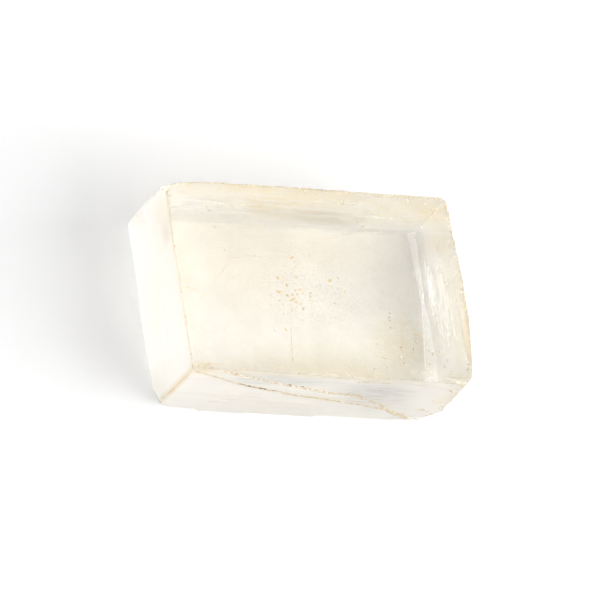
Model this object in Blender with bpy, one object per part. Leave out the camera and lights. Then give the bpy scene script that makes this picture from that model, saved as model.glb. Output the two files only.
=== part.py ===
"""A cleavage block of rough optical calcite, standing on one of its flat faces.

Calcite splits along three sets of planes that lean on each other by the same angle, so a broken piece
is a leaning brick. Everything here is placed on that skewed lattice: "along" and "across" run over the
top face, and "down" follows the leaning edges, all three from the blunt corner at the top, front, left.
The faces are not perfect planes. They step by a few tenths of a millimetre where the breaks ran off
one cleavage plane and onto the next, and their edges are nibbled by small chips of the same shape.
"""

import math
import random

import bmesh
import bpy
from mathutils import Matrix, Vector

MM = 0.001

# Driving dimensions, in millimetres: the three sets of edges, and the angle between any two of them at
# the blunt corner, which is the same for every cleavage block of calcite.
LENGTH = 41.6
WIDTH = 27.8
SLANT = 18.2
EDGE_ANGLE = math.radians(101.92)

# The cutters reach this far past the faces that they cut: before the corner that the lattice starts
# from, and beyond the right, back and bottom faces.
CLEAR = 3.0
BEFORE = -CLEAR
RIGHT_OF = LENGTH + CLEAR
BEHIND = WIDTH + CLEAR
BELOW = SLANT + CLEAR

# Steps on the front face. Each outline is the part that has split away, in (along, down), and the
# number before it is how deep the split lies. The first three climb from the left end of the face to
# its top edge, and the others are low on its right half.
FRONT_STEPS = [
    (
        0.18,
        [(BEFORE, BEFORE), (BEFORE, 0.2), (0.6, 0.8), (4.0, 2.7), (8.0, 5.1), (12.2, 6.9), (18.1, 8.9)]
        + [(23.4, 10.0), (28.8, 11.6), (31.8, 12.6), (34.1, 14.7), (36.8, 16.4), (RIGHT_OF, 17.4)]
        + [(RIGHT_OF, BEFORE)],
    ),
    (
        0.34,
        [(1.6, BEFORE), (4.7, 0.6), (9.6, 2.7), (15.2, 4.8), (21.9, 7.1), (26.5, 7.4), (27.6, 8.7)]
        + [(30.6, 10.8), (33.3, 13.4), (36.7, 15.9), (RIGHT_OF, 16.4), (RIGHT_OF, BEFORE)],
    ),
    (
        0.45,
        [(13.5, BEFORE), (15.0, 0.4), (22.0, 1.0), (29.0, 1.4), (36.4, 1.7), (37.6, 3.0)]
        + [(RIGHT_OF, 3.6), (RIGHT_OF, BEFORE)],
    ),
    (
        0.16,
        [(12.6, BELOW), (13.2, 17.1), (18.0, 16.6), (21.0, 15.9), (26.5, 15.0), (31.0, 14.6)]
        + [(33.4, 15.8), (RIGHT_OF, 17.4), (RIGHT_OF, BELOW)],
    ),
    (
        0.45,
        [(23.0, BELOW), (23.4, 17.5), (28.6, 16.9), (33.0, 16.0), (36.6, 17.0), (RIGHT_OF, 17.9)]
        + [(RIGHT_OF, BELOW)],
    ),
    (0.34, [(BEFORE, BELOW), (BEFORE, 15.2), (2.6, 15.6), (5.4, 16.9), (8.2, BELOW)]),
]

# Steps on the right face, in (across, down). They leave it fullest in the middle.
RIGHT_STEPS = [
    (0.10, [(13.8, BEFORE), (14.4, 3.1), (13.1, 6.9), (17.4, 14.4), (BEHIND, 15.4), (BEHIND, BEFORE)]),
    (0.22, [(16.6, BEFORE), (17.4, 2.9), (16.9, 6.1), (21.8, 11.7), (BEHIND, 12.4), (BEHIND, BEFORE)]),
    (0.36, [(19.0, BEFORE), (19.7, 2.0), (19.1, 4.7), (21.4, 7.5), (BEHIND, 8.2), (BEHIND, BEFORE)]),
    (0.54, [(21.4, BEFORE), (22.1, 1.6), (21.6, 3.4), (23.6, 5.2), (BEHIND, 5.9), (BEHIND, BEFORE)]),
    (0.70, [(25.4, BEFORE), (25.9, 1.4), (25.5, 3.3), (BEHIND, 4.0), (BEHIND, BEFORE)]),
]

# Steps on the back face, in (along, down). They run level, and show through the top as streaks.
BACK_STEPS = [
    (0.08, [(6.0, 5.2), (17.0, 4.8), (23.5, 5.6), (30.0, 5.2), (31.5, 7.9), (24.0, 8.5), (13.0, 8.0)]),
    (0.10, [(21.5, 11.2), (29.0, 10.7), (37.5, 11.3), (39.0, 13.5), (30.0, 14.1), (23.0, 13.4)]),
    (0.12, [(BEFORE, 12.5), (4.0, 12.6), (11.0, 13.2), (16.5, 12.9), (18.0, BELOW), (BEFORE, BELOW)]),
]

# Steps on the left face, in (across, down).
LEFT_STEPS = [
    (0.10, [(19.6, BEFORE), (19.2, 2.4), (20.3, 5.4), (18.7, 8.3), (BEHIND, 11.0), (BEHIND, BEFORE)]),
    (0.14, [(BEFORE, 12.2), (2.6, 13.4), (5.4, 16.0), (6.1, BELOW), (BEFORE, BELOW)]),
    (0.18, [(14.6, BELOW), (15.2, 16.9), (18.8, 15.2), (21.8, 12.8), (BEHIND, 12.3), (BEHIND, BELOW)]),
]

# Steps on the top face, in (along, across): a thin sheet is gone along the right half of the back
# edge, and a flake from the front edge near its right end.
TOP_STEPS = [
    (
        0.10,
        [(25.0, 21.3), (26.6, 21.8), (28.4, 22.3), (30.2, 22.6), (35.2, 22.75), (RIGHT_OF, 22.95)]
        + [(RIGHT_OF, BEHIND), (26.6, BEHIND), (25.7, 26.0), (24.6, 23.6)],
    ),
    (0.16, [(35.9, BEFORE), (36.1, 1.15), (38.0, 1.05), (RIGHT_OF, 0.95), (RIGHT_OF, BEFORE)]),
]

# Pits in the top face, in (along, across), where grains have dropped out.
TOP_PITS = [
    (29.8, 9.5),
    (29.9, 8.0),
    (30.7, 3.8),
    (28.4, 2.2),
    (26.9, 0.9),
    (37.7, 1.9),
    (33.3, 6.1),
    (31.6, 12.4),
    (20.4, 13.7),
    (22.2, 11.1),
    (12.8, 6.6),
    (7.3, 17.9),
]
PIT_SIZES = (0.14, 0.30)

# Corners broken off across the lattice. Each is a point on the break, in (along, across, down), and
# the direction out of the block that the break faces, in the same terms.
BROKEN_CORNERS = [
    ((0.75, 26.9, 0.0), (-1.0, 0.58, -0.2)),
    ((0.75, 26.9, 0.0), (-0.33, 1.0, -0.3)),
    ((2.3, 27.4, 0.0), (-0.09, 1.0, -0.35)),
    ((0.0, WIDTH - 0.6, 5.0), (-1.0, 1.0, -0.04)),
    ((0.0, WIDTH - 0.45, 12.0), (-1.0, 0.9, 0.03)),
    ((0.0, WIDTH - 0.75, SLANT), (-1.0, 0.75, 0.55)),
    ((0.0, WIDTH - 1.6, SLANT), (-1.0, 0.2, 0.5)),
    ((0.1, 3.1, SLANT), (-1.0, -0.31, 0.35)),
    ((0.85, 0.75, SLANT), (-0.3, -1.0, 0.4)),
    ((LENGTH - 0.9, WIDTH - 0.4, 0.0), (0.75, 1.0, -0.4)),
    ((41.32, 7.0, 0.0), (1.0, -0.08, -0.01)),
    ((41.0, 3.3, 0.0), (1.0, -0.2, -0.02)),
    ((40.6, 1.4, 0.0), (1.0, -0.9, -0.06)),
    ((40.1, 0.2, 13.2), (1.0, -0.8, 0.52)),
    ((38.4, 0.2, 16.4), (0.43, -0.6, 1.0)),
    ((LENGTH - 1.1, 10.0, SLANT), (1.0, -0.10, 0.8)),
    ((LENGTH - 0.5, 20.0, SLANT), (1.0, 0.06, 1.3)),
    ((LENGTH, WIDTH - 1.1, SLANT), (1.0, 1.0, 0.7)),
]

# Chips along the twelve edges: axis of the edge, which end of the other two axes it lies on (0 or 1, in
# the order along, across, down), how many chips, and the longest and deepest of them.
CHIPPED_EDGES = [
    ("along", 0, 0, 14, 2.6, 0.14),
    ("along", 1, 0, 34, 2.8, 0.22),
    ("along", 0, 1, 14, 3.0, 0.20),
    ("along", 1, 1, 10, 3.4, 0.26),
    ("across", 0, 0, 12, 2.2, 0.14),
    ("across", 1, 0, 26, 2.2, 0.22),
    ("across", 0, 1, 12, 2.8, 0.20),
    ("across", 1, 1, 8, 3.0, 0.30),
    ("down", 0, 0, 12, 1.6, 0.26),
    ("down", 1, 0, 16, 1.6, 0.40),
    ("down", 0, 1, 18, 1.8, 0.30),
    ("down", 1, 1, 10, 2.4, 0.30),
]
CHIP_SEED = 14
CHIP_SHORTEST = 0.35
CHIP_SHALLOWEST = 0.04

# Fine ledges on the side faces, a few hundredths of a millimetre deep, that run with the lattice: the
# axis that the face ends, which end (0 or 1), the axis that the ledges run with, how many, the shortest
# and longest, the widest and the deepest.
FINE_LEDGES = [
    ("across", 0, "along", 15, 3.0, 15.0, 0.8, 0.08),
    ("across", 1, "along", 9, 4.0, 14.0, 0.8, 0.05),
    ("along", 1, "across", 14, 3.0, 13.0, 0.7, 0.07),
    ("along", 0, "across", 8, 3.0, 12.0, 0.7, 0.06),
]
LEDGE_SEED = 5
LEDGE_NARROWEST = 0.15
LEDGE_SHALLOWEST = 0.03

SIZES = {"along": LENGTH, "across": WIDTH, "down": SLANT}


def edge_directions():
    """The unit vectors of the three sets of edges. Any two of them meet at EDGE_ANGLE."""
    cosine, sine = math.cos(EDGE_ANGLE), math.sin(EDGE_ANGLE)
    along = Vector((1.0, 0.0, 0.0))
    across = Vector((cosine, sine, 0.0))
    sideways = cosine * (1.0 - cosine) / sine
    down = Vector((cosine, sideways, -math.sqrt(1.0 - cosine**2 - sideways**2)))
    return along, across, down


ALONG, ACROSS, DOWN = edge_directions()


def lattice_point(along, across, down):
    """The place, in metres, of a point given in millimetres down the three sets of edges."""
    return (ALONG * along + ACROSS * across + DOWN * down) * MM


def lattice_matrix():
    """Takes lattice millimetres to metres."""
    return Matrix([(ALONG[i] * MM, ACROSS[i] * MM, DOWN[i] * MM, 0.0) for i in range(3)] + [(0, 0, 0, 1)])


def outward(direction):
    """The outward normal of a break that faces this way on the lattice."""
    along, across, down = direction
    inverse = lattice_matrix().to_3x3().inverted().transposed()
    return (inverse @ Vector((along, across, down))).normalized()


def skewed_block(low, high):
    """A bmesh of the lattice brick between two corners, facing out."""
    mesh = bmesh.new()
    bmesh.ops.create_cube(mesh, size=1.0)
    spans = [high[i] - low[i] for i in range(3)]
    middles = [(high[i] + low[i]) / 2 for i in range(3)]
    place = Matrix.Translation(middles) @ Matrix.Diagonal((*spans, 1.0))
    bmesh.ops.transform(mesh, matrix=lattice_matrix() @ place, verts=mesh.verts)
    bmesh.ops.recalc_face_normals(mesh, faces=mesh.faces)
    return mesh


def break_corner(mesh, point, direction):
    """Breaks off all that lies beyond a plane, and closes the cut."""
    cut = bmesh.ops.bisect_plane(
        mesh,
        geom=[*mesh.verts, *mesh.edges, *mesh.faces],
        dist=1e-7,
        plane_co=lattice_point(*point),
        plane_no=outward(direction),
        clear_outer=True,
    )
    rim = [item for item in cut["geom_cut"] if isinstance(item, bmesh.types.BMEdge)]
    bmesh.ops.holes_fill(mesh, edges=rim)


def prism(outline, to_lattice, start, end):
    """A bmesh of a flat outline drawn out from start to end along the lattice axis that it faces."""
    mesh = bmesh.new()
    corners = [mesh.verts.new(lattice_point(*to_lattice(u, v, start))) for u, v in outline]
    drawn = bmesh.ops.extrude_face_region(mesh, geom=[mesh.faces.new(corners)])
    moved = [item for item in drawn["geom"] if isinstance(item, bmesh.types.BMVert)]
    shift = lattice_point(*to_lattice(0, 0, end)) - lattice_point(*to_lattice(0, 0, start))
    bmesh.ops.translate(mesh, vec=shift, verts=moved)
    bmesh.ops.recalc_face_normals(mesh, faces=mesh.faces)
    return mesh


def object_of(name, mesh, collection):
    """Puts a bmesh into a named object."""
    data = bpy.data.meshes.new(name)
    mesh.to_mesh(data)
    mesh.free()
    made = bpy.data.objects.new(name, data)
    collection.objects.link(made)
    return made


def step_cutters():
    """The prisms that lower parts of the side faces and the top by one cleavage step."""
    faces = [
        (FRONT_STEPS, lambda u, v, w: (u, w, v), lambda depth: (BEFORE, depth)),
        (BACK_STEPS, lambda u, v, w: (u, w, v), lambda depth: (WIDTH - depth, BEHIND)),
        (LEFT_STEPS, lambda u, v, w: (w, u, v), lambda depth: (BEFORE, depth)),
        (RIGHT_STEPS, lambda u, v, w: (w, u, v), lambda depth: (LENGTH - depth, RIGHT_OF)),
        (TOP_STEPS, lambda u, v, w: (u, v, w), lambda depth: (BEFORE, depth)),
    ]
    meshes = []
    for steps, to_lattice, span in faces:
        for depth, outline in steps:
            meshes.append(prism(outline, to_lattice, *span(depth)))
    return meshes


def span_of_chip(chance, size, longest):
    """Where one chip starts and ends along its edge."""
    length = CHIP_SHORTEST + (longest - CHIP_SHORTEST) * chance.random() ** 2
    start = chance.uniform(-0.3, size - length + 0.3)
    return start, start + length


def depth_of_chip(chance, size, far_end, deepest):
    """A chip's span on an axis that its edge ends: from outside the block to a little way in."""
    depth = CHIP_SHALLOWEST + (deepest - CHIP_SHALLOWEST) * chance.random() ** 1.5
    return (size - depth, size + CLEAR) if far_end else (BEFORE, depth)


def chip_cutters():
    """Small lattice bricks that nibble the edges, as flakes do when calcite is knocked."""
    chance = random.Random(CHIP_SEED)
    axes = ("along", "across", "down")
    meshes = []
    for axis, first_end, second_end, count, longest, deepest in CHIPPED_EDGES:
        ends = iter((first_end, second_end))
        far = {other: next(ends) for other in axes if other != axis}
        for _ in range(count):
            spans = []
            for name in axes:
                if name == axis:
                    spans.append(span_of_chip(chance, SIZES[name], longest))
                else:
                    spans.append(depth_of_chip(chance, SIZES[name], far[name], deepest))
            meshes.append(skewed_block([s[0] for s in spans], [s[1] for s in spans]))
    return meshes


def ledge_cutters():
    """Long shallow lattice bricks laid along the side faces."""
    chance = random.Random(LEDGE_SEED)
    meshes = []
    for face, far_end, run, count, shortest, longest, widest, deepest in FINE_LEDGES:
        for _ in range(count):
            low, high = {}, {}
            for name, size in SIZES.items():
                if name == face:
                    depth = chance.uniform(LEDGE_SHALLOWEST, deepest)
                    low[name], high[name] = (size - depth, size + CLEAR) if far_end else (BEFORE, depth)
                    continue
                length = chance.uniform(LEDGE_NARROWEST, widest)
                if name == run:
                    length = chance.uniform(shortest, longest)
                low[name] = chance.uniform(-0.5, size - length)
                high[name] = low[name] + length
            meshes.append(skewed_block(list(low.values()), list(high.values())))
    return meshes


def pit_cutters():
    """Tiny lattice bricks sunk into the top face."""
    chance = random.Random(LEDGE_SEED)
    meshes = []
    for along, across in TOP_PITS:
        width, length, depth = [chance.uniform(*PIT_SIZES) for _ in range(3)]
        meshes.append(skewed_block((along, across, BEFORE), (along + width, across + length, depth)))
    return meshes


def calcite_material():
    """Clear, faintly honey-coloured and glossy."""
    material = bpy.data.materials.new("calcite")
    material.use_nodes = True
    surface = material.node_tree.nodes["Principled BSDF"]
    surface.inputs["Base Color"].default_value = (0.96, 0.93, 0.85, 1.0)
    surface.inputs["Metallic"].default_value = 0.0
    surface.inputs["Roughness"].default_value = 0.04
    surface.inputs["IOR"].default_value = 1.6
    surface.inputs["Transmission Weight"].default_value = 1.0
    return material


def clear_scene():
    for old in list(bpy.data.objects):
        bpy.data.objects.remove(old)


def cut_block(cutters):
    """The block with its broken corners, less every cutter in a collection."""
    block = skewed_block((0.0, 0.0, 0.0), (LENGTH, WIDTH, SLANT))
    for point, direction in BROKEN_CORNERS:
        break_corner(block, point, direction)
    rough = object_of("uncut_block", block, bpy.context.scene.collection)
    cut = rough.modifiers.new("steps and chips", "BOOLEAN")
    cut.operation = "DIFFERENCE"
    cut.operand_type = "COLLECTION"
    cut.collection = cutters
    cut.solver = "EXACT"
    bpy.context.view_layer.update()
    evaluated = rough.evaluated_get(bpy.context.evaluated_depsgraph_get())
    mesh = bmesh.new()
    mesh.from_mesh(evaluated.to_mesh())
    evaluated.to_mesh_clear()
    bpy.data.objects.remove(rough)
    return mesh


def stand_on_origin(mesh):
    """Moves the block so that its box stands on the origin, centred."""
    low = Vector([min(v.co[i] for v in mesh.verts) for i in range(3)])
    high = Vector([max(v.co[i] for v in mesh.verts) for i in range(3)])
    foot = Vector(((low.x + high.x) / 2, (low.y + high.y) / 2, low.z))
    bmesh.ops.translate(mesh, vec=-foot, verts=mesh.verts)


def build():
    clear_scene()
    cutters = bpy.data.collections.new("cutters")
    bpy.context.scene.collection.children.link(cutters)
    meshes = [*step_cutters(), *ledge_cutters(), *pit_cutters(), *chip_cutters()]
    for number, mesh in enumerate(meshes):
        cutter = object_of(f"cutter_{number:03d}", mesh, cutters)
        cutter.hide_render = True
        cutter.display_type = "WIRE"
    mesh = cut_block(cutters)
    for cutter in list(cutters.objects):
        bpy.data.objects.remove(cutter)
    stand_on_origin(mesh)
    crystal = object_of("calcite_block", mesh, bpy.context.scene.collection)
    crystal.data.materials.append(calcite_material())


build()
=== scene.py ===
"""The looks of a rough block of clear calcite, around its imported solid.

The block is a leaning brick: calcite splits along three sets of planes, and every edge runs along one of
the three directions where they meet. Places on the block are given on that lattice, in millimetres
along, across and down from its blunt corner at the top, front, left.
"""

import math
import random

import bmesh
import bpy
from mathutils import Matrix, Vector
from mathutils.bvhtree import BVHTree


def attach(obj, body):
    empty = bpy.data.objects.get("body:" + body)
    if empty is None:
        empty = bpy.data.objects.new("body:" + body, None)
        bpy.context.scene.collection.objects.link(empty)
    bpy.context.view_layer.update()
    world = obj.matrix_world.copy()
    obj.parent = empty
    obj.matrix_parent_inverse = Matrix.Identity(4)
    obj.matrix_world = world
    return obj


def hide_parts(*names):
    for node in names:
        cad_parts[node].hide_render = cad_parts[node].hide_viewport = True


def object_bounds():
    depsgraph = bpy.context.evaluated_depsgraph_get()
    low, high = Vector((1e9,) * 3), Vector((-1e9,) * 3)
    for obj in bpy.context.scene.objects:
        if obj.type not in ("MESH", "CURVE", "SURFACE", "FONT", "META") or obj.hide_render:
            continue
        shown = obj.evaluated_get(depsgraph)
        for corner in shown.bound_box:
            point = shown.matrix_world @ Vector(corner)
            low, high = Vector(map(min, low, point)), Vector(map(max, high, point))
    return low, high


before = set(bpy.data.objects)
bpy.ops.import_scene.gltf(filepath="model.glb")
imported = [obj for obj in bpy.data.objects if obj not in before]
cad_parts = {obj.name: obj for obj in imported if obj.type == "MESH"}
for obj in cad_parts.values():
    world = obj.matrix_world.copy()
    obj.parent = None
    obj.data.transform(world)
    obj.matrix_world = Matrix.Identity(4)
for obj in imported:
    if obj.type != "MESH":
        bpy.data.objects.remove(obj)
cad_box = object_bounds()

MM = 0.001
EDGE_ANGLE = math.radians(101.92)
LENGTH = 41.6
WIDTH = 27.8
SLANT = 18.2

# The right face bulges: this is how far along it reaches, by how far across.
BULGE_REACH = 41.55
BULGE_MIDDLE = 12.0
BULGE_FALL = 0.0042

# The camera stands almost over the block, a little to its front left.
CAMERA_AZIMUTH = math.radians(49.6)
CAMERA_ELEVATION = math.radians(82.07)
CAMERA_ROLL = math.radians(53.06)
CAMERA_DISTANCE = 750.0
CAMERA_AIM = (17.19, 11.27, 0.0)
FRAME_WIDTH = 86.24
SENSOR_WIDTH = 36.0

# The floor's gap under the block in millimetres, and how far it reaches in metres.
FLOOR_GAP = 0.12
FLOOR_REACH = 1.2

# How rough each face of the block is, and a break that runs across its cleavage.
FROST = {
    "top": 0.06,
    "bottom": 0.16,
    "front": 0.40,
    "back": 0.38,
    "left": 0.44,
    "right": 0.44,
    "break": 0.34,
}

# Small breaks beside three of the faces are rougher, and so are the walls of the pits in the top.
SMALL_BREAK_FROST = {"back": 0.9, "right": 0.8, "bottom": 0.8}
PIT_FROST = 0.6

# A break is small below this many square millimetres. A facet lies along the cleavage when its outward
# direction fits a face's this closely, and it is that face's own floor down to this depth.
SMALL_BREAK_AREA = 12.0
CLEAVAGE_MATCH = 0.995
SAME_FACE_DEPTH = 1.2

# Calcite as clear stuff: how much it bends light, and the honey colour that its depth takes up.
CALCITE_IOR = 1.658
DEPTH_COLOUR = (0.94, 0.88, 0.74, 1.0)
DEPTH_DENSITY = 3.4

# Colours that stain the surface, with painted light and painted shade among them, each marked below.
# Painted light: the left face is left pure white, lighter than the rest, where the key light shines through
# the block.
LEFT_FACE_PAINTED_LIGHT = (1.0, 1.0, 1.0, 1.0)
CLEAR = (1.0, 0.994, 0.978, 1.0)
RIM_HONEY = (0.97, 0.89, 0.72, 1.0)
MOTTLE_HONEY = (0.98, 0.93, 0.82, 1.0)
# Painted shade: olive for the back band of the top, darker where the back face is seen from inside.
BACK_PAINTED_SHADE = (0.76, 0.71, 0.62, 1.0)
# Painted shadow: grey for the band on the right of the top, where the floor under the block's right end
# lies in shadow.
BAND_SHADOW_GREY = (0.87, 0.865, 0.855, 1.0)
SPECKLE_HONEY = (0.94, 0.90, 0.79, 1.0)
FLECK_TAN = (0.86, 0.77, 0.59, 1.0)
RUST_FILM = (0.86, 0.70, 0.45, 1.0)

# Colours of the crumbs and the dirt.
THIN_RUST = (0.74, 0.65, 0.48, 1.0)
THICK_RUST = (0.52, 0.40, 0.24, 1.0)
DARK_RUST = (0.26, 0.14, 0.05, 1.0)
PALE_RUST = (0.84, 0.68, 0.42, 1.0)
PALE_OCHRE = (0.89, 0.77, 0.53, 1.0)
BRUISE_WHITE = (0.97, 0.96, 0.92, 1.0)
DIRT = (0.22, 0.19, 0.15, 1.0)
DIRT_DARKER = (0.7, 0.62, 0.5, 1.0)

# The soft key light on the right, and the bright surround, in metres and watts.
BLOCK_MIDDLE = (0.0, 0.0, 0.01)
KEY_PLACE = (0.54, -0.06, 0.42)
KEY_SIZE = 0.50
KEY_POWER = 3.9
SURROUND = 0.74

# Soft tints in the surface: stains, and painted shade, painted shadow and painted reflection as marked.
# Each gives middle and reach along, across and down, colour, strength and how streaky.
TINTS = {
    "back rim": ((20.0, 26.5, 0.0), (26.0, 5.0, 1.2), (0.97, 0.90, 0.74, 1.0), 0.9, 0.4),
    "back band left": ((15.0, 24.4, 0.0), (8.0, 2.6, 1.0), (0.90, 0.84, 0.73, 1.0), 0.9, 0.5),
    "grey haze back left": ((10.5, 20.2, 0.0), (11.5, 6.5, 1.0), (0.89, 0.885, 0.86, 1.0), 1.0, 0.2),
    "back band right": ((34.0, 25.0, 0.0), (9.0, 3.6, 1.0), (1.0, 0.93, 0.76, 1.0), 0.8, 0.3),
    "back right corner": ((38.5, 25.8, 0.0), (5.0, 4.0, 1.0), (0.99, 0.92, 0.74, 1.0), 0.8, 0.2),
    "right strip back": ((39.0, 21.0, 0.0), (3.4, 2.8, 1.0), (0.89, 0.82, 0.69, 1.0), 1.0, 0.0),
    "front right honey": ((30.0, 5.4, 0.0), (6.4, 6.2, 1.0), (0.90, 0.85, 0.70, 1.0), 1.0, 0.1),
    "front right brown": ((35.0, 4.0, 0.0), (2.3, 5.0, 1.0), (0.84, 0.82, 0.75, 1.0), 1.0, 0.0),
    "whole middle": ((17.0, 14.0, 0.0), (24.0, 16.0, 1.0), (0.99, 0.963, 0.912, 1.0), 1.0, 0.0),
    "left face back": ((0.0, 24.0, 3.0), (1.2, 4.8, 6.5), (0.88, 0.80, 0.66, 1.0), 1.0, 0.3),
    "left face shadow": ((0.0, 20.4, 2.6), (1.2, 2.8, 3.4), (0.80, 0.74, 0.65, 1.0), 0.9, 0.0),
    "front of the top": ((20.0, 2.0, 0.0), (17.0, 4.5, 1.0), (0.96, 0.91, 0.78, 1.0), 1.0, 0.2),
    "back of the middle": ((20.0, 19.0, 0.0), (12.0, 4.5, 1.0), (0.95, 0.91, 0.82, 1.0), 0.8, 0.2),
    # Painted shadow: grey deepening the band where the floor under the right end lies in shadow, seen
    # through the top.
    "back of the painted band shadow": ((35.4, 20.2, 0.0), (2.6, 4.6, 1.0), (0.74, 0.72, 0.69, 1.0), 1.0, 0.1),
    "edge of the painted band shadow": ((35.25, 15.0, 0.0), (1.6, 9.0, 1.0), (0.76, 0.76, 0.75, 1.0), 1.0, 0.0),
    "right strip": ((39.2, 11.0, 0.0), (5.2, 22.0, 1.0), (1.0, 0.975, 0.89, 1.0), 1.0, 0.0),
    "left part of the top": ((7.0, 15.0, 0.0), (12.0, 18.0, 1.0), (1.0, 0.972, 0.92, 1.0), 1.0, 0.0),
    # Painted reflection and painted shade on the front: dark grey and blue-grey where the front shows the
    # darker surroundings, down to the ledges.
    "painted dark reflection on the front": ((28.6, 0.3, 5.6), (8.8, 1.5, 6.8), (0.48, 0.50, 0.53, 1.0), 1.0, 0.45),
    "painted shade below the dark reflection": ((29.5, 0.3, 10.8), (10.0, 1.5, 5.5), (0.74, 0.73, 0.71, 1.0), 1.0, 0.4),
    "painted shade between the ledges": ((19.0, 0.3, 8.4), (7.0, 1.5, 3.6), (0.86, 0.86, 0.84, 1.0), 1.0, 0.4),
    "painted blue-grey reflection above the ledges, middle": ((19.0, 0.3, 3.0), (8.0, 1.5, 3.0), (0.80, 0.82, 0.85, 1.0), 1.0, 0.5),
    "painted blue-grey reflection above the ledges, left": ((12.0, 0.4, 3.2), (11.0, 1.5, 3.8), (0.66, 0.69, 0.75, 1.0), 1.0, 0.6),
    "ledge honey": ((24.0, 0.3, 9.4), (9.0, 1.5, 3.0), (0.94, 0.88, 0.78, 1.0), 0.8, 0.5),
    "lower front": ((13.0, 0.3, 12.5), (16.0, 1.5, 6.5), (1.0, 0.97, 0.935, 1.0), 1.0, 0.6),
    "front corner": ((1.5, 0.6, 0.5), (2.6, 1.2, 2.4), (0.93, 0.82, 0.60, 1.0), 1.0, 0.3),
    "front left edge": ((0.1, 0.2, 8.0), (0.8, 0.8, 14.0), (0.84, 0.68, 0.42, 1.0), 1.0, 0.0),
    "front face right end": ((39.2, 0.4, 6.0), (2.6, 1.4, 9.0), (0.99, 0.94, 0.83, 1.0), 1.0, 0.5),
    "right edge": ((41.1, 8.0, 0.2), (1.2, 13.0, 1.3), (0.91, 0.84, 0.71, 1.0), 1.0, 0.3),
}

# Milky patches, split into fine leaves that scatter light: middle, reach, strength and how streaky.
MILKY = {
    "right streak": ((36.65, 14.0, 0.0), (0.8, 5.8, 0.6), 0.56, 0.4),
    "short streak": ((35.2, 13.0, 0.0), (0.5, 4.0, 0.6), 0.30, 0.4),
    "edge streak": ((38.3, 13.0, 0.0), (1.3, 8.0, 0.6), 0.24, 0.4),
    "right strip": ((38.8, 12.0, 0.0), (3.6, 15.0, 0.6), 0.20, 0.3),
    "below the flake": ((38.4, 0.4, 0.0), (3.2, 0.9, 0.6), 0.90, 0.3),
    "front edge": ((20.5, 0.4, 0.0), (6.0, 0.6, 0.6), 0.50, 0.3),
    "back band right": ((34.0, 25.6, 0.0), (13.0, 4.6, 0.6), 0.38, 0.0),
    "back band left": ((12.0, 26.6, 0.0), (24.0, 4.8, 0.6), 0.38, 0.0),
    "front right": ((34.0, 1.6, 0.0), (4.0, 2.4, 0.6), 0.30, 0.0),
    "right edge": ((41.0, 8.0, 0.3), (1.5, 13.0, 1.4), 0.42, 0.0),
}

# Crumbs: the shortest, how far inside the brick they keep, and the widest rust on the edges.
SHORTEST_CRUMB = 0.06
CRUMB_GAP = 0.01
WIDEST_RUST = 0.23

# Lines where iron rust has crept in, each as lattice points, with crumbs per millimetre, their longest
# and how far they stray.
RUSTED_LINES = {
    "front top edge": ([(0.2, 0.4, 0), (13.5, 0.4, 0), (39.8, 0.45, 0)], 3.0, 0.40, 0.14),
    "left top edge": ([(0, 0.4, 0), (0, 13.0, 0), (0, 25.0, 0)], 4.4, 0.44, 0.22),
    "back left corner": ([(0, 25.0, 0), (0.75, 26.9, 0), (3.0, 27.5, 0)], 8.0, 0.50, 0.34),
    "back top edge": ([(3.0, 27.7, 0), (22.0, 27.8, 0), (40.6, 27.6, 0)], 7.0, 0.55, 0.34),
    "right top edge": (
        [(40.7, 27.3, 0), (41.0, 22.0, 0), (41.5, 14.0, 0), (40.2, 0.9, 0)],
        7.0,
        0.46,
        0.30,
    ),
    "front right edge": ([(39.6, 0.4, 0.3), (40.2, 0.2, 13.0), (38.2, 0.2, 16.6)], 12.0, 0.50, 0.60),
    "front left edge": ([(0, 0.2, 0.2), (0, 0, 9.0), (0.3, 0.4, 17.6)], 14.0, 0.55, 0.60),
    "back left edge": ([(0.2, 27.2, 1.0), (0.2, 27.2, 16.0)], 5.0, 0.40, 0.24),
    "lower ledge": (
        [(0.6, 0.1, 0.8), (4.0, 0.1, 2.7), (8.0, 0.1, 5.1), (12.2, 0.1, 6.9), (18.1, 0.1, 8.9)]
        + [(23.4, 0.1, 10.0), (28.8, 0.1, 11.6), (31.8, 0.1, 12.6), (34.1, 0.1, 14.7), (36.8, 0.1, 16.4)],
        22.0,
        0.70,
        0.22,
    ),
    "upper ledge": (
        [(4.7, 0.2, 0.6), (9.6, 0.2, 2.7), (15.2, 0.2, 4.8), (21.9, 0.2, 7.1), (26.5, 0.2, 7.4)]
        + [(27.6, 0.2, 8.7), (30.6, 0.2, 10.8), (33.3, 0.2, 13.4), (36.7, 0.2, 15.9)],
        21.0,
        0.65,
        0.22,
    ),
    "flake": ([(36.1, 1.1, 0), (38.0, 1.05, 0), (40.2, 1.0, 0)], 6.0, 0.30, 0.05),
    "front corner": ([(0.4, 0.6, 0.0), (1.8, 0.5, 0.3), (3.6, 0.4, 0.5)], 16.0, 0.45, 0.80),
    "slant steps": ([(38.2, 0.2, 2.8), (39.8, 0.2, 4.0)], 16.0, 0.7, 0.4),
    "slant steps low": ([(37.6, 0.2, 8.2), (39.4, 0.2, 8.6)], 16.0, 0.7, 0.4),
    "slant steps lowest": ([(36.8, 0.2, 12.0), (38.6, 0.2, 12.6)], 16.0, 0.7, 0.4),
    "dashes above the ledge": ([(24.2, 0.2, 1.9), (29.0, 0.2, 1.5)], 5.0, 0.9, 0.10),
    "dashes in the dark patch": ([(28.0, 0.2, 4.6), (29.2, 0.2, 4.8)], 9.0, 0.8, 0.16),
}

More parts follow.
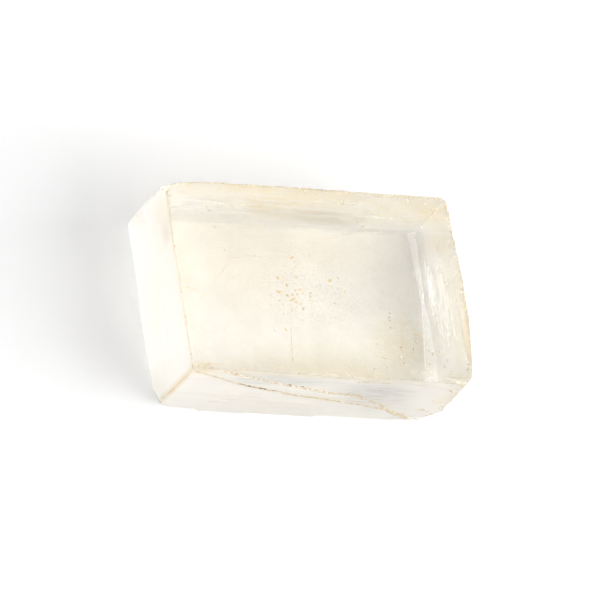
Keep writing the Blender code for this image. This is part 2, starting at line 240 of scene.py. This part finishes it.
# White bruises, where the crystal has split into thin air-filled leaves: points, leaves per millimetre,
# their longest, how far they stray and their widest.
BRUISES = {
    "right streak": ([(36.8, 18.4, 0.5), (36.6, 14.0, 0.5), (36.8, 9.4, 0.5)], 2.4, 4.2, 0.30, 0.10),
    "short streak": ([(35.3, 16.2, 0.5), (34.9, 13.0, 0.5), (34.8, 9.8, 0.5)], 2.2, 1.8, 0.16, 0.05),
    "edge streak": ([(38.8, 20.6, 0.5), (38.6, 15.0, 0.5), (38.8, 7.0, 0.5)], 4.0, 2.6, 0.9, 0.05),
    "front edge glints": ([(9.0, 0.9, 0.15), (13.6, 1.1, 0.15)], 5.0, 0.7, 0.5, 0.2),
    "front edge right": ([(24.6, 0.9, 0.15), (33.0, 0.9, 0.15)], 2.6, 1.4, 0.3, 0.14),
    "back nick": ([(35.3, 27.3, 0.2), (35.1, 26.0, 0.2)], 8.0, 0.8, 0.1, 0.14),
    "front streaks": ([(23.0, 0.9, 4.0), (34.0, 0.9, 8.0)], 1.6, 3.0, 1.4, 0.10),
    "below the flake": ([(36.2, 0.55, 0.24), (40.0, 0.5, 0.24)], 14.0, 2.0, 0.22, 0.08),
    "left of the front": ([(3.0, 0.5, 12.0), (14.0, 0.5, 14.6)], 2.0, 2.6, 1.6, 0.05),
    "below the top edge": ([(15.5, 0.45, 1.5), (24.0, 0.45, 0.9)], 5.0, 2.2, 0.5, 0.06),
}

# Where rust clots darkest, on the lower ledge and the upper one.
LEDGE_CLOTS = [
    [(8.6, 0.2, 5.6), (9.6, 0.2, 6.0), (10.6, 0.2, 6.3), (12.5, 0.2, 6.8)],
    [(13.9, 0.2, 7.2), (14.5, 0.2, 7.3)],
    [(15.4, 0.2, 4.6), (15.8, 0.2, 4.8)],
    [(17.4, 0.2, 5.3), (17.7, 0.2, 5.4)],
]

# Edges of thin inner cracks, pale with rust, each as lattice points.
INNER_LINES = {
    "long curve": [(2.9, 10.6, 0.3), (4.1, 11.9, 0.3), (5.2, 13.4, 0.3), (6.1, 14.2, 0.3), (7.9, 16.8, 0.3)]
    + [(10.5, 17.4, 0.3), (13.3, 17.3, 0.3)],
    "left branch": [(0.2, 12.0, 0.15), (1.2, 12.1, 0.15), (2.4, 11.8, 0.15)],
    "middle crack": [(15.4, 8.0, 0.2), (15.2, 6.0, 0.2), (14.9, 3.4, 0.2), (14.8, 2.1, 0.2)],
    "middle crack again": [(15.25, 6.4, 0.2), (15.0, 4.4, 0.2), (14.8, 2.1, 0.2), (14.7, 1.9, 0.2)],
    "terrace hair": [(7.2, 0.75, 10.2), (10.0, 0.75, 11.6), (13.6, 0.75, 12.4)],
    "terrace foot": [(20.0, 0.75, 14.0), (25.0, 0.75, 14.6), (30.0, 0.75, 14.6)],
    "second hair": [(5.0, 0.75, 6.0), (8.0, 0.75, 8.4), (11.0, 0.75, 9.0)],
    "middle crack top": [(16.2, 11.4, 0.3), (15.8, 9.8, 0.3), (15.4, 8.6, 0.3)],
    "step line": [(21.6, 20.4, 0.2), (23.0, 20.7, 0.2), (25.2, 21.3, 0.2), (28.3, 22.2, 0.2)]
    + [(30.5, 22.4, 0.2)],
    "back hair": [(9.0, 21.2, 0.3), (11.5, 21.7, 0.3), (13.6, 22.0, 0.3)],
    "back hair right": [(27.0, 20.2, 0.3), (28.6, 19.8, 0.3), (30.4, 18.6, 0.3)],
    "front corner hair": [(1.2, 0.9, 0.2), (2.8, 1.2, 0.2), (4.6, 1.0, 0.2)],
    "right hair": [(37.5, 1.7, 0.2), (38.7, 1.6, 0.2), (40.0, 1.6, 0.2)],
}

# Clouds of pale rust specks inside the block: middle, spread along, across and down, how many, how long.
SPECK_CLOUDS = {
    "middle": ((16.6, 12.4, 0.6), (3.2, 4.2, 0.5), 80, 0.75),
    "right of the middle": ((22.8, 14.4, 0.6), (1.8, 1.4, 0.5), 18, 0.70),
    "around the middle": ((21.5, 10.5, 1.0), (6.0, 6.0, 0.8), 50, 0.30),
    "front right": ((33.0, 5.4, 0.6), (3.4, 4.4, 0.5), 130, 0.40),
    "back right corner": ((39.0, 25.8, 0.3), (1.6, 1.4, 0.2), 40, 0.30),
    "back": ((27.5, 23.4, 0.5), (3.0, 1.4, 0.4), 30, 0.32),
    "back left": ((8.0, 24.0, 0.6), (5.0, 3.2, 0.5), 60, 0.34),
    "deep left": ((14.0, 16.0, 2.0), (8.0, 5.0, 1.5), 40, 0.22),
    "deep front left": ((8.0, 5.0, 2.0), (5.0, 4.0, 1.5), 24, 0.24),
    "front edge": ((20.0, 2.2, 0.5), (12.0, 1.2, 0.4), 60, 0.30),
    "whole top": ((20.0, 14.0, 1.0), (18.0, 11.0, 0.9), 200, 0.20),
}

# Where the dirty pits of the top are, along and across.
PIT_PLACES = [
    (30.05, 10.25),
    (29.92, 9.11),
    (27.48, 5.53),
    (30.84, 5.16),
    (32.72, 5.14),
    (28.26, 3.54),
    (26.55, 1.82),
    (31.01, 2.99),
    (36.87, 2.78),
]


def lattice_axes():
    """Unit vectors of the three sets of edges. Any two meet at EDGE_ANGLE."""
    cosine = math.cos(EDGE_ANGLE)
    sine = math.sin(EDGE_ANGLE)
    along = Vector((1.0, 0.0, 0.0))
    across = Vector((cosine, sine, 0.0))
    sideways = cosine * (1.0 - cosine) / sine
    down = Vector((cosine, sideways, -math.sqrt(1.0 - cosine**2 - sideways**2)))
    return along, across, down


ALONG, ACROSS, DOWN = lattice_axes()
LATTICE = Matrix((ALONG, ACROSS, DOWN)).transposed()
TO_LATTICE = LATTICE.inverted()


def blunt_corner():
    """Where the lattice starts, in millimetres: the solid's least reach along, across and down."""
    points = [TO_LATTICE @ (v.co / MM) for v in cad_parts["calcite_block"].data.vertices]
    return LATTICE @ Vector([min(p[i] for p in points) for i in range(3)])


CORNER = blunt_corner()
BRICK = (LENGTH, WIDTH, SLANT)


def place(along, across, down):
    """The point, in metres, at these lattice millimetres."""
    return (CORNER + LATTICE @ Vector((along, across, down))) * MM


def link(name, mesh):
    """Puts a bmesh into a new object at the origin."""
    data = bpy.data.meshes.new(name)
    mesh.to_mesh(data)
    mesh.free()
    piece = bpy.data.objects.new(name, data)
    bpy.context.scene.collection.objects.link(piece)
    return piece


class Recipe:
    """A material's node tree, with the few kinds of node that the finishes here are mixed from."""

    def __init__(self, name):
        self.material = bpy.data.materials.new(name)
        self.material.use_nodes = True
        self.nodes = self.material.node_tree.nodes
        self.links = self.material.node_tree.links
        self.surface = self.nodes["Principled BSDF"]

    def fill(self, socket, value):
        """Links another node's output, or sets a plain value."""
        if isinstance(value, bpy.types.NodeSocket):
            self.links.new(value, socket)
        else:
            socket.default_value = value

    def math(self, operation, first, second=0.0):
        node = self.nodes.new("ShaderNodeMath")
        node.operation = operation
        self.fill(node.inputs[0], first)
        self.fill(node.inputs[1], second)
        return node.outputs["Value"]

    def dot(self, vector, direction):
        node = self.nodes.new("ShaderNodeVectorMath")
        node.operation = "DOT_PRODUCT"
        self.fill(node.inputs[0], vector)
        node.inputs[1].default_value = direction
        return node.outputs["Value"]

    def lattice(self):
        """The surface point in lattice millimetres: its three numbers, and them as one vector."""
        where = self.nodes.new("ShaderNodeTexCoord").outputs["Object"]
        start = TO_LATTICE @ CORNER
        numbers = []
        for row in range(3):
            scaled = self.dot(where, TO_LATTICE[row] / MM)
            numbers.append(self.math("SUBTRACT", scaled, start[row]))
        whole = self.nodes.new("ShaderNodeCombineXYZ")
        for row in range(3):
            self.fill(whole.inputs[row], numbers[row])
        return numbers, whole.outputs["Vector"]

    def stretch(self, vector, scale, offset=(0.0, 0.0, 0.0)):
        node = self.nodes.new("ShaderNodeMapping")
        self.fill(node.inputs["Vector"], vector)
        node.inputs["Scale"].default_value = scale
        node.inputs["Location"].default_value = offset
        return node.outputs["Vector"]

    def noise(self, vector, scale, detail=4.0, roughness=0.55, distortion=0.0):
        node = self.nodes.new("ShaderNodeTexNoise")
        self.fill(node.inputs["Vector"], vector)
        node.inputs["Scale"].default_value = scale
        node.inputs["Detail"].default_value = detail
        node.inputs["Roughness"].default_value = roughness
        node.inputs["Distortion"].default_value = distortion
        return node.outputs["Fac"]

    def ease(self, value, start, end, low=0.0, high=1.0):
        """Goes smoothly from low to high as the value goes from start to end."""
        node = self.nodes.new("ShaderNodeMapRange")
        node.interpolation_type = "SMOOTHSTEP"
        self.fill(node.inputs["Value"], value)
        for name, number in (("From Min", start), ("From Max", end), ("To Min", low), ("To Max", high)):
            self.fill(node.inputs[name], number)
        return node.outputs["Result"]

    def spot(self, vector, middle, reach):
        """1 in the middle of a soft patch and 0 beyond its reach, in lattice millimetres."""
        scale = [1.0 / r for r in reach]
        centred = self.stretch(vector, scale, [-middle[i] * scale[i] for i in range(3)])
        node = self.nodes.new("ShaderNodeVectorMath")
        node.operation = "LENGTH"
        self.fill(node.inputs[0], centred)
        return self.ease(node.outputs["Value"], 0.0, 1.0, 1.0, 0.0)

    def blend(self, amount, first, second, kind="MIX"):
        node = self.nodes.new("ShaderNodeMix")
        node.data_type = "RGBA"
        node.blend_type = kind
        self.fill(node.inputs["Factor"], amount)
        colours = [socket for socket in node.inputs if socket.type == "RGBA"]
        self.fill(colours[0], first)
        self.fill(colours[1], second)
        return [socket for socket in node.outputs if socket.type == "RGBA"][0]

    def shade(self, amount, first, second):
        """The first colour, darkened by the second as much as the amount says."""
        return self.blend(amount, first, second, "MULTIPLY")

    def product(self, *values):
        total = values[0]
        for value in values[1:]:
            total = self.math("MULTIPLY", total, value)
        return total

    def attribute(self, name):
        node = self.nodes.new("ShaderNodeAttribute")
        node.attribute_name = name
        return node.outputs["Fac"]

    def bump(self, height, strength, distance):
        node = self.nodes.new("ShaderNodeBump")
        node.inputs["Strength"].default_value = strength
        node.inputs["Distance"].default_value = distance
        self.fill(node.inputs["Height"], height)
        return node.outputs["Normal"]


def edge_distance(recipe, along, across, down):
    """How far the surface point is from the nearest edge of the block, in millimetres.

    Of the three least distances to the pairs of opposite faces, one is nothing on any face, and the
    next larger one is the distance to that face's nearest edge.
    """
    off_middle = recipe.math("SUBTRACT", across, BULGE_MIDDLE)
    fall = recipe.math("MULTIPLY", recipe.math("MULTIPLY", off_middle, off_middle), BULGE_FALL)
    reach = recipe.math("SUBTRACT", BULGE_REACH, fall)
    ends = recipe.math("MINIMUM", along, recipe.math("SUBTRACT", reach, along))
    sides = recipe.math("MINIMUM", across, recipe.math("SUBTRACT", WIDTH, across))
    levels = recipe.math("MINIMUM", down, recipe.math("SUBTRACT", SLANT, down))
    low = recipe.math("MINIMUM", ends, sides)
    high = recipe.math("MAXIMUM", ends, sides)
    return recipe.math("MAXIMUM", low, recipe.math("MINIMUM", high, levels))


def painted_band_shadow(recipe, along, across, down):
    """A painted grey shadow in the right part of the top, where the floor under the right end lies in
    shadow: sharp on its curved right side, soft on its left.
    """
    bend = recipe.ease(across, 16.3, 18.3, 34.2, 36.7)
    inside = recipe.ease(recipe.math("SUBTRACT", along, bend), 0.12, -0.12)
    grown = recipe.ease(along, 18.5, 31.5)
    thinner = recipe.ease(along, 31.0, 34.0, 1.0, 0.66)
    level = recipe.math("MULTIPLY", recipe.ease(across, 6.0, 12.0), recipe.ease(across, 22.55, 22.35))
    on_top = recipe.ease(down, 0.6, 0.3)
    return recipe.product(inside, grown, thinner, level, on_top)


def painted_back_band_shade(recipe, cell, along, across):
    """Painted shade in the back band of the top, olive and streaky, with a sharp near side."""
    middle = recipe.spot(cell, (22.5, 23.4, 0.0), (8.5, 2.6, 0.8))
    near = recipe.ease(recipe.math("SUBTRACT", across, recipe.math("MULTIPLY", along, 0.02)), 22.0, 22.2)
    streaks = recipe.noise(recipe.stretch(cell, (0.12, 1.0, 1.0)), 1.7, 3.0, 0.6)
    return recipe.product(middle, near, recipe.ease(streaks, 0.35, 0.62, 0.55, 1.35))


def milky(recipe, cell):
    """How much of the surface is split into leaves, some of it in streaks that run across the top."""
    streaks = recipe.noise(recipe.stretch(cell, (1.0, 0.07, 1.0)), 2.4, 3.0, 0.6)
    total = 0.0
    for middle, reach, strength, streaky in MILKY.values():
        patch = recipe.math("MULTIPLY", recipe.spot(cell, middle, reach), strength)
        if streaky > 0.0:
            broken = recipe.ease(streaks, 0.36, 0.62, 1.0 - streaky, 1.0 + streaky)
            patch = recipe.math("MULTIPLY", patch, broken)
        total = recipe.math("ADD", patch, total)
    return recipe.math("MINIMUM", total, 0.9)


def rust_share(recipe, along, across, down):
    """How far rust has got into the edges: most round the top, less down the left and front faces."""
    top = recipe.ease(down, 2.2, 0.7)
    left = recipe.ease(along, 1.2, 0.5, 0.0, 0.6)
    front = recipe.ease(across, 1.2, 0.5, 0.0, 0.4)
    return recipe.math("MAXIMUM", top, recipe.math("MAXIMUM", left, front))


def rust_film(recipe, edge, mottled, crumbly, share):
    """A ragged film of rust along the edges, in patches."""
    ragged = recipe.math("MULTIPLY", recipe.ease(crumbly, 0.40, 0.75), 0.30)
    film = recipe.ease(recipe.math("SUBTRACT", edge, ragged), 0.10, 0.0)
    return recipe.product(film, recipe.ease(mottled, 0.40, 0.62, 0.1, 1.0), share)


def rim_stain(recipe, edge, cloudy, along, down):
    """Where a honey stain fades away from the edges of the top."""
    near_edge = recipe.ease(edge, 3.4, 0.1)
    near_top = recipe.ease(down, 3.0, 0.6)
    uneven = recipe.ease(cloudy, 0.3, 0.7, 0.35, 1.0)
    left = recipe.ease(along, -0.1, 3.0, 0.5, 1.0)
    right = recipe.ease(along, 26.0, 32.0, 1.0, 0.6)
    return recipe.product(near_edge, near_top, uneven, left, right)


def stains_and_painted_shade(recipe, tint, cell, streaky):
    """The tint with all of TINTS over it: stains, and painted shade, painted shadow and painted reflection.
    """
    for middle, reach, colour, strength, streaks in TINTS.values():
        amount = recipe.math("MULTIPLY", recipe.spot(cell, middle, reach), strength)
        if streaks > 0.0:
            broken = recipe.ease(streaky, 0.36, 0.64, 1.0 - streaks, 1.0 + streaks)
            amount = recipe.math("MULTIPLY", amount, broken)
        tint = recipe.shade(amount, tint, colour)
    return tint


def top_flecks(recipe, cell, crumbly, down):
    """Fine flecks over the top, strongest in its middle."""
    middle = recipe.ease(recipe.spot(cell, (18.0, 13.5, 0.0), (13.0, 10.0, 1.0)), 0.0, 0.8, 0.45, 1.0)
    return recipe.product(recipe.ease(crumbly, 0.54, 0.64), middle, recipe.ease(down, 0.6, 0.3))


def face_roughness(recipe, cloudy, along, across, down):
    """Each face's own frost, a little uneven, and hazier at the back left of the top."""
    back_left = recipe.product(
        recipe.ease(along, 34.0, 22.0),
        recipe.ease(across, 14.0, 21.0),
        recipe.ease(down, 1.0, 0.3),
    )
    uneven = recipe.ease(cloudy, 0.3, 0.75, 0.8, 1.1)
    return recipe.product(recipe.attribute("frost"), uneven, recipe.ease(back_left, 0.0, 1.0, 1.0, 3.6))


def calcite_stains_and_painted_shade():
    """Clear crystal: frosted by face, honey-tinted in its depth, and stained by rust near its edges, with
    painted light, painted shade, painted shadow and painted reflection in its surface colour.
    """
    recipe = Recipe("stained clear calcite with painted shade")
    (along, across, down), cell = recipe.lattice()
    edge = edge_distance(recipe, along, across, down)

    cloudy = recipe.noise(cell, 0.22, 5.0, 0.6)
    mottled = recipe.noise(recipe.stretch(cell, (0.7, 1.0, 1.0)), 1.3, 6.0, 0.65)
    crumbly = recipe.noise(cell, 3.4, 4.0, 0.6, 0.4)
    streaky = recipe.noise(recipe.stretch(cell, (0.10, 1.0, 1.0)), 2.6, 4.0, 0.6)

    rust = rust_film(recipe, edge, mottled, crumbly, rust_share(recipe, along, across, down))
    mottle = recipe.product(recipe.ease(mottled, 0.50, 0.78), recipe.ease(down, 4.0, 0.5, 0.15, 1.0), 0.55)
    speckle = recipe.spot(cell, (32.4, 6.6, 0.0), (6.6, 7.0, 1.0))
    speckle = recipe.product(recipe.ease(mottled, 0.44, 0.56), speckle)

    # Painted light: the left face is pure white, lighter than the rest.
    tint = recipe.blend(recipe.ease(along, 0.6, 0.25), CLEAR, LEFT_FACE_PAINTED_LIGHT)
    tint = recipe.shade(rim_stain(recipe, edge, cloudy, along, down), tint, RIM_HONEY)
    tint = recipe.shade(mottle, tint, MOTTLE_HONEY)
    # Stains, with painted shade, painted shadow and painted reflection among them.
    tint = stains_and_painted_shade(recipe, tint, cell, streaky)
    # Painted shade in the back band of the top.
    tint = recipe.shade(painted_back_band_shade(recipe, cell, along, across), tint, BACK_PAINTED_SHADE)
    # Painted shadow in the grey band on the right of the top.
    tint = recipe.shade(painted_band_shadow(recipe, along, across, down), tint, BAND_SHADOW_GREY)
    tint = recipe.shade(speckle, tint, SPECKLE_HONEY)
    tint = recipe.shade(top_flecks(recipe, cell, crumbly, down), tint, FLECK_TAN)
    tint = recipe.shade(rust, tint, RUST_FILM)
    recipe.fill(recipe.surface.inputs["Base Color"], tint)

    frosted = face_roughness(recipe, cloudy, along, across, down)
    rough_rust = recipe.math("MULTIPLY", rust, 0.5)
    recipe.fill(recipe.surface.inputs["Roughness"], recipe.math("MAXIMUM", frosted, rough_rust))
    haze = recipe.ease(cloudy, 0.3, 0.8, 0.98, 0.92)
    unsplit = recipe.math("SUBTRACT", 1.0, milky(recipe, cell))
    rust_free = recipe.math("SUBTRACT", 1.0, recipe.math("MULTIPLY", rust, 0.4))
    recipe.fill(recipe.surface.inputs["Transmission Weight"], recipe.product(haze, unsplit, rust_free))
    recipe.surface.inputs["IOR"].default_value = CALCITE_IOR

    growth = recipe.noise(recipe.stretch(cell, (0.05, 0.05, 0.5)), 1.0, 2.0, 0.5)
    growth = recipe.product(growth, recipe.ease(down, 0.3, 0.8), 2.0)
    recipe.fill(recipe.surface.inputs["Normal"], recipe.bump(growth, 0.05, 0.0001))

    depth = recipe.nodes.new("ShaderNodeVolumeAbsorption")
    depth.inputs["Color"].default_value = DEPTH_COLOUR
    depth.inputs["Density"].default_value = DEPTH_DENSITY
    recipe.links.new(depth.outputs["Volume"], recipe.nodes["Material Output"].inputs["Volume"])
    return recipe.material


def rust_crumbs():
    """Matt iron rust, tan where thin and brown where thick."""
    recipe = Recipe("iron rust")
    _, cell = recipe.lattice()
    patchy = recipe.noise(cell, 2.6, 3.0, 0.6)
    colour = recipe.blend(recipe.ease(patchy, 0.40, 0.75), THIN_RUST, THICK_RUST)
    recipe.fill(recipe.surface.inputs["Base Color"], colour)
    recipe.surface.inputs["Roughness"].default_value = 0.7
    recipe.fill(recipe.surface.inputs["Normal"], recipe.bump(recipe.noise(cell, 9.0), 0.4, 0.00005))
    return recipe.material


def plain_dirt(name, colour):
    """Matt dirt, a little darker in places."""
    recipe = Recipe(name)
    _, cell = recipe.lattice()
    darker = recipe.shade(recipe.ease(recipe.noise(cell, 3.0, 2.0), 0.4, 0.7), colour, DIRT_DARKER)
    recipe.fill(recipe.surface.inputs["Base Color"], darker)
    recipe.surface.inputs["Roughness"].default_value = 0.8
    return recipe.material


def face_kinds():
    """The outward direction of each of the six flat faces."""
    return {
        "top": ALONG.cross(ACROSS).normalized(),
        "bottom": ACROSS.cross(ALONG).normalized(),
        "front": DOWN.cross(ALONG).normalized(),
        "back": ALONG.cross(DOWN).normalized(),
        "left": ACROSS.cross(DOWN).normalized(),
        "right": DOWN.cross(ACROSS).normalized(),
    }


def crystal():
    """The block's own solid, merged, with how frosted each of its faces is. Returns its surface too."""
    mesh = bmesh.new()
    mesh.from_mesh(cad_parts["calcite_block"].data)
    bmesh.ops.remove_doubles(mesh, verts=mesh.verts, dist=1e-6)
    bmesh.ops.dissolve_limit(mesh, angle_limit=math.radians(0.2), verts=mesh.verts, edges=mesh.edges)
    bmesh.ops.recalc_face_normals(mesh, faces=mesh.faces)
    frost = mesh.faces.layers.float.new("frost")
    kinds = face_kinds()
    for face in mesh.faces:
        face.smooth = False
        centre = TO_LATTICE @ (face.calc_center_median() / MM - CORNER)
        depths = (centre.z, SLANT - centre.z, centre.y, WIDTH - centre.y, centre.x, LENGTH - centre.x)
        depths = dict(zip(kinds, depths))
        nearest = min(depths, key=depths.get)
        kind = max(kinds, key=lambda name: kinds[name].dot(face.normal))
        across_cleavage = kinds[kind].dot(face.normal) < CLEAVAGE_MATCH
        small = face.calc_area() < SMALL_BREAK_AREA * MM * MM
        if nearest == "top" and kind != "top":
            face[frost] = PIT_FROST
        elif across_cleavage:
            face[frost] = SMALL_BREAK_FROST.get(nearest, FROST["break"]) if small else FROST["break"]
        else:
            face[frost] = FROST[kind if depths[kind] < SAME_FACE_DEPTH else nearest]
    surface = BVHTree.FromBMesh(mesh)
    piece = link("clear_block", mesh)
    piece.data.materials.clear()
    piece.data.materials.append(calcite_stains_and_painted_shade())
    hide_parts("calcite_block")
    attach(piece, "root")
    return surface


def crumb(mesh, where, run, length, width, height):
    """One flattened lump, its length along a direction, kept inside the brick and the solid's own box."""
    side = run.cross(Vector((0.0, 0.0, 1.0)))
    side = side.normalized() if side.length > 0.01 else Vector((0.0, 1.0, 0.0))
    lift = side.cross(run).normalized()
    columns = (run * length, side * width, lift * height, where)
    rows = [[column[i] for column in columns] for i in range(3)]
    turn = Matrix([*rows, (0.0, 0.0, 0.0, 1.0)])
    made = bmesh.ops.create_icosphere(mesh, subdivisions=1, radius=0.5, matrix=turn)
    for vertex in made["verts"]:
        spot = TO_LATTICE @ (vertex.co / MM - CORNER)
        inside = place(*[min(max(spot[i], CRUMB_GAP), BRICK[i] - CRUMB_GAP) for i in range(3)])
        vertex.co = [min(max(inside[i], cad_box[0][i]), cad_box[1][i]) for i in range(3)]


def crumb_chain(mesh, chance, points, per_mm, longest, stray, widest, surface=None):
    """Crumbs strung along a bent line, laid on the surface when there is one."""
    for start, end in zip(points, points[1:]):
        first, last = place(*start), place(*end)
        run = (last - first).normalized()
        for _ in range(max(1, int((last - first).length / MM * per_mm))):
            where = first.lerp(last, chance.random())
            where += Vector([chance.gauss(0.0, stray * 0.5) for _ in range(3)]) * MM
            if surface:
                where = surface.find_nearest(where)[0]
            length = (SHORTEST_CRUMB + (longest - SHORTEST_CRUMB) * chance.random() ** 3) * MM
            width = min(length, chance.uniform(0.4, 1.0) * widest * MM)
            crumb(mesh, where, run, length, width, 0.4 * width)


def rust_lines(surface):
    """Rust along the edges and the two ledges of the front."""
    chance = random.Random(31)
    mesh = bmesh.new()
    for points, per_mm, longest, stray in RUSTED_LINES.values():
        crumb_chain(mesh, chance, points, per_mm, longest, stray, WIDEST_RUST, surface)
    piece = link("rust_lines", mesh)
    piece.data.materials.append(rust_crumbs())
    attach(piece, "root")


def ledge_clots(surface):
    """Dark clots of rust caught on the two ledges."""
    chance = random.Random(5)
    mesh = bmesh.new()
    sizes = {"per_mm": 16.0, "longest": 0.70, "stray": 0.20, "widest": 0.36}
    for points in LEDGE_CLOTS:
        crumb_chain(mesh, chance, points, **sizes, surface=surface)
    piece = link("ledge_clots", mesh)
    piece.data.materials.append(plain_dirt("dark rust", DARK_RUST))
    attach(piece, "root")


def inner_lines():
    """The rusted edges of thin cracks just under the top."""
    chance = random.Random(12)
    mesh = bmesh.new()
    for points in INNER_LINES.values():
        crumb_chain(mesh, chance, points, per_mm=9.0, longest=0.6, stray=0.06, widest=0.07)
    piece = link("inner_lines", mesh)
    piece.data.materials.append(plain_dirt("pale rust film", PALE_RUST))
    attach(piece, "root")


def inner_specks():
    """Pale specks of rust shut inside the crystal."""
    chance = random.Random(8)
    mesh = bmesh.new()
    highest = (LENGTH - 2.0, WIDTH - 1.0, SLANT - 1.0)
    lowest = (0.8, 0.8, 0.12)
    for middle, spread, count, longest in SPECK_CLOUDS.values():
        for _ in range(count):
            spot = [chance.gauss(middle[i], spread[i] * 0.5) for i in range(3)]
            spot = [min(max(spot[i], lowest[i]), highest[i]) for i in range(3)]
            run = (ALONG * chance.gauss(0.0, 1.0) + ACROSS * chance.gauss(0.0, 1.0)).normalized()
            size = (SHORTEST_CRUMB + (longest - SHORTEST_CRUMB) * chance.random() ** 2) * MM
            crumb(mesh, place(*spot), run, size, size * chance.uniform(0.3, 0.8), 0.03 * MM)
    piece = link("inner_specks", mesh)
    piece.data.materials.append(plain_dirt("pale ochre specks", PALE_OCHRE))
    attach(piece, "root")


def bruises():
    """Thin white leaves just inside the crystal."""
    chance = random.Random(21)
    mesh = bmesh.new()
    for points, per_mm, longest, stray, widest in BRUISES.values():
        crumb_chain(mesh, chance, points, per_mm, longest, stray, widest)
    piece = link("bruises", mesh)
    piece.data.materials.append(plain_dirt("white bruise", BRUISE_WHITE))
    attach(piece, "root")


def dark_specks():
    """Dark dirt in the pits of the top."""
    chance = random.Random(2)
    mesh = bmesh.new()
    for along, across in PIT_PLACES:
        for _ in range(2):
            spot = place(along + chance.gauss(0.0, 0.05), across + chance.gauss(0.0, 0.05), 0.06)
            run = (ALONG * chance.gauss(0.0, 1.0) + ACROSS * chance.gauss(0.0, 1.0)).normalized()
            size = chance.uniform(0.12, 0.20) * MM
            crumb(mesh, spot, run, size, size * 0.7, 0.06 * MM)
    piece = link("dark_specks", mesh)
    piece.data.materials.append(plain_dirt("dark dirt", DIRT))
    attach(piece, "root")


def floor():
    """A wide pale floor just under the block."""
    mesh = bmesh.new()
    bmesh.ops.create_grid(mesh, x_segments=1, y_segments=1, size=FLOOR_REACH)
    bmesh.ops.translate(mesh, vec=(0.0, 0.0, -FLOOR_GAP * MM), verts=mesh.verts)
    piece = link("floor", mesh)
    material = bpy.data.materials.new("white floor")
    material.use_nodes = True
    surface = material.node_tree.nodes["Principled BSDF"]
    surface.inputs["Base Color"].default_value = (0.93, 0.93, 0.93, 1.0)
    surface.inputs["Roughness"].default_value = 0.9
    surface.inputs["Specular IOR Level"].default_value = 0.0
    piece.data.materials.append(material)


def aim(thing, position, target, roll=0.0):
    """Puts a camera or a light somewhere, looking at a point, in metres."""
    back = (position - target).normalized()
    right = Vector((0.0, 0.0, 1.0)).cross(back).normalized()
    up = back.cross(right)
    turned_right = right * math.cos(roll) + up * math.sin(roll)
    turned_up = up * math.cos(roll) - right * math.sin(roll)
    rows = [(turned_right[i], turned_up[i], back[i], position[i]) for i in range(3)]
    thing.matrix_world = Matrix([*rows, (0.0, 0.0, 0.0, 1.0)])


def camera():
    """A long lens, almost overhead."""
    data = bpy.data.cameras.new("camera")
    data.sensor_width = SENSOR_WIDTH
    data.lens = SENSOR_WIDTH * CAMERA_DISTANCE / FRAME_WIDTH
    data.clip_start = 0.01
    data.clip_end = 10.0
    thing = bpy.data.objects.new("camera", data)
    bpy.context.scene.collection.objects.link(thing)
    flat = math.cos(CAMERA_ELEVATION)
    back = Vector(
        (
            -math.sin(CAMERA_AZIMUTH) * flat,
            -math.cos(CAMERA_AZIMUTH) * flat,
            math.sin(CAMERA_ELEVATION),
        )
    )
    target = place(*CAMERA_AIM)
    aim(thing, target + back * CAMERA_DISTANCE * MM, target, CAMERA_ROLL)
    bpy.context.scene.camera = thing


def softbox(name, position, size, power):
    """A square soft light that faces the middle of the block."""
    data = bpy.data.lights.new(name, "AREA")
    data.shape = "SQUARE"
    data.size = size
    data.energy = power
    thing = bpy.data.objects.new(name, data)
    bpy.context.scene.collection.objects.link(thing)
    aim(thing, Vector(position), Vector(BLOCK_MIDDLE))


def studio():
    """A bright even surround with one large soft light from the right."""
    world = bpy.data.worlds.new("studio")
    bpy.context.scene.world = world
    world.use_nodes = True
    background = world.node_tree.nodes["Background"]
    background.inputs["Color"].default_value = (1.0, 1.0, 1.0, 1.0)
    background.inputs["Strength"].default_value = SURROUND
    softbox("key", KEY_PLACE, KEY_SIZE, KEY_POWER)
    scene = bpy.context.scene
    scene.view_settings.view_transform = "Standard"
    scene.view_settings.look = "None"
    scene.cycles.blur_glossy = 0.0
    scene.cycles.max_bounces = 24
    scene.cycles.transmission_bounces = 24
    scene.cycles.glossy_bounces = 12
    scene.cycles.transparent_max_bounces = 16


block_surface = crystal()
rust_lines(block_surface)
ledge_clots(block_surface)
inner_lines()
inner_specks()
bruises()
dark_specks()
floor()
camera()
studio()
